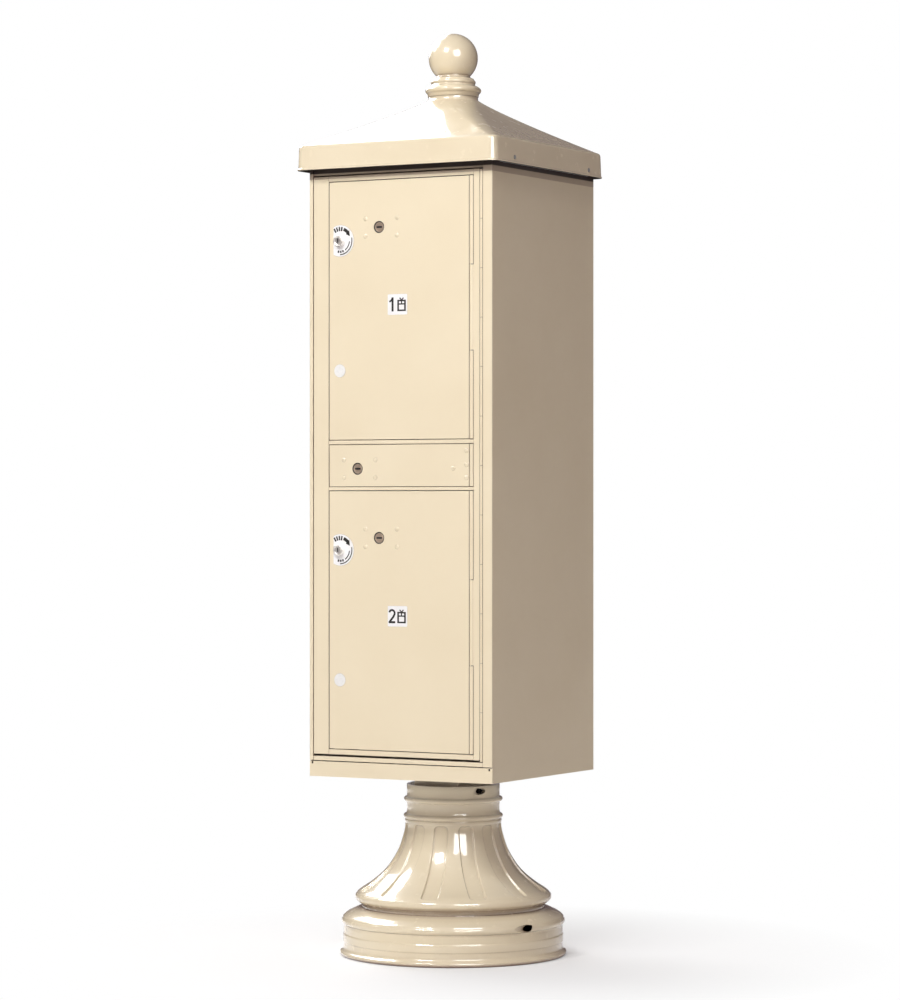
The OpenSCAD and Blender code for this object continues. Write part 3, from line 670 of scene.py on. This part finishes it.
# %% Tenant lock shells and hole plugs
def turn_to_front(mesh, x, y, z):
    """Lays a shape spun round +Z down, so that its axis runs along -Y, out of the door at y."""
    mesh.transform(Matrix.Translation((x, y, z)) @ Matrix.Rotation(math.radians(90), 4, "X"))


def centre_of(node):
    low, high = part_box(node)
    return (low + high) / 2


door_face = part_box("upper_number_label")[1].y
for level_name in ("upper", "lower"):
    node = level_name + "_tenant_lock_body"
    low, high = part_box(node)
    spot = centre_of(node)
    depth = (high.y - door_face) / MM
    barrel = [(7.1, -depth), (7.1, 8.6), (7.6, 9.2), (8.6, 9.6), (9.8, 10.0), (10.6, 9.9), (11.2, 9.3),
              (11.45, 8.4), (11.5, 0.0), (11.5, -3.0), (16, -3.0), (16, -7.0), (11.4, -7.0),
              (11.4, -depth)]
    mesh = lathe_profile(node + "_turned", barrel, 64)
    turn_to_front(mesh, spot.x, door_face, spot.z)
    smooth(mesh, 40)
    add_piece(node + "_turned", mesh, node)

    node = level_name + "_hole_plug"
    spot = centre_of(node)
    dome = ([(0, -8), (9.4, -8), (9.4, -5.1), (10.2, -4.9), (9.9, -3.0), (9.4, -2.9), (9.4, 0), (12.9, 0)]
            + arc((11.6, 0.1), 1.35, 0, 70, 6)
            + curve_through([(11.4, 1.42), (8, 1.66), (4, 1.76), (0, 1.8)], 5))
    mesh = lathe_profile(node + "_dome", dome, 64, (True, True))
    turn_to_front(mesh, spot.x, door_face, spot.z)
    smooth(mesh, 60)
    add_piece(node + "_dome", mesh, node)

# %% [markdown]
# ## Printed labels and dial rings
# Each door has a white number label with a black figure and a small parcel sign, and a white ring with
# marks round the tenant lock. The marks are thin solids of ink that lie on the film, made from strokes:
# a list of points along the middle of the pen's path, thickened to the pen's width.

# %% Ink strokes
INK_LIFT = 0.12


def stroke(points, width, closed=False):
    """A flat ribbon along points in the plane of the door (x, z in millimetres), as outline pairs."""
    p = np.array(points, float)
    if closed:
        ahead, behind = np.roll(p, -1, 0), np.roll(p, 1, 0)
    else:
        ahead, behind = np.vstack([p[1:], p[-1:]]), np.vstack([p[:1], p[:-1]])
    along = ahead - behind
    along /= np.linalg.norm(along, axis=1, keepdims=True)
    across = np.stack([-along[:, 1], along[:, 0]], 1)
    leaving, coming = ahead - p, p - behind
    stretch = np.ones(len(p))
    for i in range(len(p)):
        a, b = np.linalg.norm(leaving[i]), np.linalg.norm(coming[i])
        if a > 1e-9 and b > 1e-9:
            cosine = np.clip((leaving[i] / a) @ (coming[i] / b), -0.5, 1)
            stretch[i] = 1 / math.sqrt((1 + cosine) / 2)
    side = across * width / 2 * stretch[:, None]
    return p + side, p - side, closed


def flat_solid_mesh(name, strokes, plates, lift):
    """Thin flat solids for ink, white film or painted shade: ribbons from strokes and filled plates, lift
    millimetres thick.
    """
    verts, faces = [], []

    def prism(ring_pairs):
        start = len(verts)
        for left, right in ring_pairs:
            for x, z in (left, right):
                verts.append((x, 0.0, z))
                verts.append((x, -lift, z))
        return start

    for left, right, closed in strokes:
        start, count = prism(list(zip(left, right))), len(left)
        for i in range(count if closed else count - 1):
            a, b = start + 4 * i, start + 4 * ((i + 1) % count)
            faces += [(a + 1, b + 1, b + 3, a + 3), (a, a + 2, b + 2, b),
                      (a, b, b + 1, a + 1), (a + 2, a + 3, b + 3, b + 2)]
        if not closed:
            end = start + 4 * (count - 1)
            faces += [(start, start + 1, start + 3, start + 2), (end, end + 2, end + 3, end + 1)]
    for ring in plates:
        start, count = len(verts), len(ring)
        verts += [(x, 0.0, z) for x, z in ring] + [(x, -lift, z) for x, z in ring]
        faces.append(tuple(range(start, start + count)))
        faces.append(tuple(range(start + 2 * count - 1, start + count - 1, -1)))
        faces += [(start + i, start + (i + 1) % count, start + count + (i + 1) % count, start + count + i)
                  for i in range(count)]
    mesh = bpy.data.meshes.new(name)
    mesh.from_pydata([(x * MM, y * MM, z * MM) for x, y, z in verts], [], faces)
    bm = bmesh.new()
    bm.from_mesh(mesh)
    bmesh.ops.recalc_face_normals(bm, faces=bm.faces)
    bm.to_mesh(mesh)
    bm.free()
    return mesh


def rounded_plate(half_x, half_z, corner):
    x, z = half_x - corner, half_z - corner
    ring = []
    for cx, cz, start in ((x, z, 0), (-x, z, 90), (-x, -z, 180), (x, -z, 270)):
        ring += arc((cx, cz), corner, start, start + 90, 6)
    return ring


FIGURES = {
    "upper": [stroke([(-18.6, 5.4), (-14.4, 7.8), (-11.6, 12.4)], 3.6),
              stroke([(-11.2, 14.2), (-11.2, -13.8)], 4.6)],
    "lower": [stroke(arc((-12.6, 6.0), 6.2, 165, -25, 14) + [(-9.4, -1.2), (-17.6, -10.6)], 4.2),
              stroke([(-20.2, -11.8), (-5.2, -11.8)], 4.2)],
}
parcel_sign = [
    stroke([(1.6, -12.0), (17.4, -12.0), (17.4, 7.4), (1.6, 7.4)], 3.4, True),
    stroke([(1.6, 0.6), (17.4, 0.6)], 2.6),
    stroke([(9.5, 0.6), (9.5, 7.4)], 2.6),
    stroke([(9.5, 8.2), (5.2, 13.0)], 2.4), stroke([(9.5, 8.2), (13.8, 13.0)], 2.4),
]


def add_inked(name, film, ink, node):
    """Joins a white film and its black ink into one piece with two materials."""
    count = len(film.polygons)
    joined = bmesh.new()
    joined.from_mesh(film)
    joined.from_mesh(ink)
    joined.to_mesh(film)
    joined.free()
    add_piece(name, film, node)
    film.materials.append(BLACK_INK_AND_SHADE)
    for polygon in film.polygons[count:]:
        polygon.material_index = 1


for level_name in ("upper", "lower"):
    node = level_name + "_number_label"
    low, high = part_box(node)
    spot = (low + high) / 2
    film_depth = (high.y - low.y) / MM
    film = flat_solid_mesh(node + "_film", [], [rounded_plate(22.5, 20.5, 2.5)], film_depth - INK_LIFT)
    ink = flat_solid_mesh(node + "_ink", FIGURES[level_name] + parcel_sign, [], INK_LIFT)
    film.transform(Matrix.Translation((spot.x, high.y, spot.z)))
    ink.transform(Matrix.Translation((spot.x, low.y + INK_LIFT * MM, spot.z)))
    add_inked(node + "_printed", film, ink, node)

# %% [markdown]
# ## Dial rings
# The ring is cut off on the side where it meets the door's edge. Its marks say the same to anyone: a
# row of ticks and a bold arrow for the way to turn, a double arc with dots for the rest of the travel.

# %% Dial rings
def dial_marks():
    marks = [stroke([polar(19.4, a), polar(28.2, a)], 3.5) for a in (120, 107, 94, 81)]
    marks.append(stroke([polar(24.2, a) for a in range(70, 41, -4)], 6.6))
    marks.append(stroke([polar(27.6, a) for a in range(12, -91, -6)], 2.2))
    marks.append(stroke([polar(21.8, a) for a in range(-4, -60, -6)], 2.2))
    marks += [stroke([polar(19.6, a), polar(24.2, a)], 3.6) for a in (-72, -86, -100)]
    head = [polar(29.6, 44), polar(18.6, 44), polar(24.4, 20)]
    return marks, [head]


def polar(radius, degrees):
    return radius * math.cos(math.radians(degrees)), radius * math.sin(math.radians(degrees))


def dial_film(name, outer, inner, cut, depth):
    """A flat ring with its left side cut off, as a grid between an inner and an outer outline."""
    steps = 120
    pairs = []
    for a in np.linspace(-180, 180, steps, endpoint=False):
        c, s = math.cos(math.radians(a)), math.sin(math.radians(a))
        reach = outer if c * outer > cut else cut / c
        pairs.append(((reach * c, reach * s), (inner * c, inner * s)))
    left, right = zip(*pairs)
    return flat_solid_mesh(name, [(left, right, True)], [], depth)


for level_name in ("upper", "lower"):
    node = level_name + "_dial_ring"
    low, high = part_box(node)
    lock = centre_of(level_name + "_tenant_lock_body")
    outer = (high.z - low.z) / 2 / MM
    cut = (low.x - lock.x) / MM
    film = dial_film(node + "_film", outer, 11.7, cut, (high.y - low.y) / MM - INK_LIFT)
    strokes, plates = dial_marks()
    ink = flat_solid_mesh(node + "_ink", strokes, plates, INK_LIFT)
    film.transform(Matrix.Translation((lock.x, high.y, lock.z)))
    ink.transform(Matrix.Translation((lock.x, low.y + INK_LIFT * MM, lock.z)))
    add_inked(node + "_printed", film, ink, node)

# %% [markdown]
# ## Weld stud marks
# Studs welded to the back of a plate leave a small pimple on its front. Each carrier lock and the
# master lock has four of them round it, and the lock panel has four more at its right end. They are
# finished in gloss enamel, so that each one catches a spark of light.

# %% Stud marks
bump_profile = [(0, -1.2), (4.9, -1.2), (4.8, -0.1), (4.4, 0.6), (3.4, 1.2), (1.8, 1.65), (0, 1.8)]


def stud_marks(name, spots, node):
    bm = bmesh.new()
    for x, z in spots:
        bump = lathe_profile("bump", bump_profile, 24, (True, True))
        turn_to_front(bump, x, door_face, z)
        bm.from_mesh(bump)
        bpy.data.meshes.remove(bump)
    mesh = bpy.data.meshes.new(name)
    bm.to_mesh(mesh)
    bm.free()
    smooth(mesh, 60)
    add_piece(name, mesh, node, replaces=False)
    mesh.materials[0] = FINISHES["cream_gloss_enamel"]


for name, lock_node, node in (("upper_door_stud_marks", "upper_carrier_lock_body", "upper_door_panel"),
                              ("lower_door_stud_marks", "lower_carrier_lock_body", "lower_door_panel"),
                              ("lock_panel_stud_marks", "master_lock_body", "lock_panel")):
    lock = centre_of(lock_node)
    spots = [(lock.x + (5 + sx * 36.5) * MM, lock.z + sz * 17.5 * MM) for sx in (-1, 1) for sz in (-1, 1)]
    if node == "lock_panel":
        spots += [(0.152, 1.020), (0.152, 0.992), (0.152, 0.966), (0.122, 0.985)]
    stud_marks(name, spots, node)

# %% [markdown]
# ## Lock faces
# A recessed lock reads as three things at a distance: a dark rim where its shell meets the door, a
# satin face, and a black key slot. The dark of the rim and of the slot is painted shade: thin black rings
# and plates that lie just in front of the turned metal. The bright plug of a tenant lock has a short
# upright slot of painted shade.

# %% Painted shade for lock rims and key slots
def add_painted_shade(name, node, axis, z_front, strokes, plates):
    """Black strokes or plates of painted shade that lie on the face of a lock part and move with it."""
    mesh = flat_solid_mesh(name, strokes, plates, 0.25)
    mesh.transform(Matrix.Translation((axis.x, z_front, axis.z)))
    add_piece(name, mesh, node, replaces=False)
    mesh.materials[0] = BLACK_INK_AND_SHADE


# Painted shade: a dark ring round each lock shell and dark plates for the key slots.
rim = [stroke([polar(10.9, a) for a in range(0, 360, 6)], 1.9, True)]
wide_slot = [rounded_plate(6.5, 1.7, 1.0)]
tall_slot = [rounded_plate(1.2, 4.3, 0.7)]
for lock in ("upper_carrier", "lower_carrier", "master"):
    body, plug = lock + "_lock_body", lock + "_lock_plug"
    axis = centre_of(body)
    add_painted_shade(lock + "_lock_rim", body, axis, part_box(body)[0].y, rim, [])
    add_painted_shade(lock + "_key_slot", plug, axis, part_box(plug)[0].y, [], wide_slot)
for level_name in ("upper", "lower"):
    plug = level_name + "_tenant_lock_plug"
    axis = centre_of(level_name + "_tenant_lock_body")
    add_painted_shade(level_name + "_tenant_key_slot", plug, axis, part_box(plug)[0].y, [], tall_slot)
    bpy.data.objects[plug + "_eased"].data.materials[0] = FINISHES["bright_nickel"]

# %% [markdown]
# ## Finish on the parts that keep their engineering shape
# Pins, studs and other hidden parts are right as they are. They only get their material.

# %% Materials on the carried-over parts
for node, part in frame["nodes"].items():
    part.data.materials.clear()
    part.data.materials.append(FINISHES[SLOT_OF[node]])

# %% [markdown]
# ## Floor
# A wide pale floor stands in for a studio sweep. Near the object it is a matt surface that takes a soft
# shadow. Further out it turns slowly into plain white, so that no horizon shows.

# %% Floor
floor_mesh = bpy.data.meshes.new("studio_floor")
floor_mesh.from_pydata([(-30, -30, 0), (30, -30, 0), (30, 30, 0), (-30, 30, 0)], [], [(0, 1, 2, 3)])
floor = bpy.data.objects.new("studio_floor", floor_mesh)
scene.collection.objects.link(floor)
floor_material, floor_tree, floor_shader = new_material("pale_floor")
grain = to_range(floor_tree, add_noise(floor_tree, 1.5, 3), 0, 1)
floor_tree.links.new(blend_colours(floor_tree, grain, (0.90, 0.90, 0.90), (0.88, 0.88, 0.88)),
                     floor_shader.inputs["Base Color"])
floor_shader.inputs["Roughness"].default_value = 0.9
floor_shader.inputs["Specular IOR Level"].default_value = 0.1
glow = floor_tree.nodes.new("ShaderNodeEmission")
glow.inputs["Strength"].default_value = 1.0
coords = floor_tree.nodes.new("ShaderNodeTexCoord")
distance = floor_tree.nodes.new("ShaderNodeVectorMath")
distance.operation = "LENGTH"
floor_tree.links.new(coords.outputs["Object"], distance.inputs[0])
far = to_range(floor_tree, distance.outputs["Value"], 0.35, 1.0, 0.25, 0.9)
seen_by = floor_tree.nodes.new("ShaderNodeLightPath")
share = floor_tree.nodes.new("ShaderNodeMath")
share.operation = "MULTIPLY"
floor_tree.links.new(far, share.inputs[0])
floor_tree.links.new(seen_by.outputs["Is Camera Ray"], share.inputs[1])
fade = floor_tree.nodes.new("ShaderNodeMixShader")
floor_tree.links.new(share.outputs["Value"], fade.inputs["Fac"])
floor_tree.links.new(floor_shader.outputs["BSDF"], fade.inputs[1])
floor_tree.links.new(glow.outputs["Emission"], fade.inputs[2])
floor_tree.links.new(fade.outputs["Shader"], floor_tree.nodes["Material Output"].inputs["Surface"])
floor_mesh.materials.append(floor_material)
floor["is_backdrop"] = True

# %% [markdown]
# ## Light
# Two soft boxes light the object: a big key in front and a weak, warm fill on the right. Neither is seen
# in the enamel. Three more are seen only in reflections, as bright windows in the enamel, and add no
# light of their own. A last one, high behind the left side, turns the front slope of the roof white,
# and its roll sets where that white ends.

# %% Lights
def soft_box(name, azimuth, elevation, distance, size, power, target=(0, 0, 1.0), roll=0):
    """An area light at an azimuth from the front (positive to the right), aimed at a point."""
    light = bpy.data.lights.new(name, "AREA")
    light.shape = "RECTANGLE"
    light.size, light.size_y = size
    light.energy = power
    a, e = math.radians(azimuth), math.radians(elevation)
    away = Vector((math.sin(a) * math.cos(e), -math.cos(a) * math.cos(e), math.sin(e)))
    lamp = bpy.data.objects.new(name, light)
    lamp.location = Vector(target) + away * distance
    spin = Quaternion((0, 0, 1), math.radians(roll))
    lamp.rotation_euler = (away.to_track_quat("Z", "Y") @ spin).to_euler()
    scene.collection.objects.link(lamp)
    return lamp


key = soft_box("key", 4, 40, 5.5, (3.0, 2.0), 246)
side_fill = soft_box("side_fill", 42, 18, 6.0, (3.0, 3.0), 34)
side_fill.data.color = (1.0, 0.82, 0.80)
for lamp in (key, side_fill):
    lamp.visible_glossy = False
window_left = soft_box("window_left", -6, 40, 5.5, (1.6, 1.4), 230)
window_right = soft_box("window_right", 47, 22, 6.0, (3.1, 3.0), 380, (0, 0, 1.4))
left_panel = soft_box("left_panel", -92, 46, 5.0, (2.4, 1.8), 300, (0, 0, 0.6))
for lamp in (window_left, window_right, left_panel):
    lamp.visible_diffuse = False
soft_box("roof_box", -128, 42, 4.2, (3.0, 3.4), 190, target=(-0.957, -0.116, 1.247), roll=-37.6)

# %% [markdown]
# ## World
# The world is white where the camera looks past the object, and dim where it lights the object, so that
# the shaded side stays deep.

# %% World
world = bpy.data.worlds.new("studio")
scene.world = world
world.use_nodes = True
sky = world.node_tree
sky.nodes.clear()
output = sky.nodes.new("ShaderNodeOutputWorld")
seen, lit = sky.nodes.new("ShaderNodeBackground"), sky.nodes.new("ShaderNodeBackground")
seen.inputs["Color"].default_value = (1, 1, 1, 1)
seen.inputs["Strength"].default_value = 1.0
lit.inputs["Color"].default_value = (1.0, 0.79, 0.82, 1)
lit.inputs["Strength"].default_value = 0.14
path, chooser = sky.nodes.new("ShaderNodeLightPath"), sky.nodes.new("ShaderNodeMixShader")
sky.links.new(path.outputs["Is Camera Ray"], chooser.inputs["Fac"])
sky.links.new(lit.outputs["Background"], chooser.inputs[1])
sky.links.new(seen.outputs["Background"], chooser.inputs[2])
sky.links.new(chooser.outputs["Shader"], output.inputs["Surface"])
scene.view_settings.view_transform = "Standard"

low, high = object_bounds()
print("visual model from", tuple(low), "to", tuple(high))
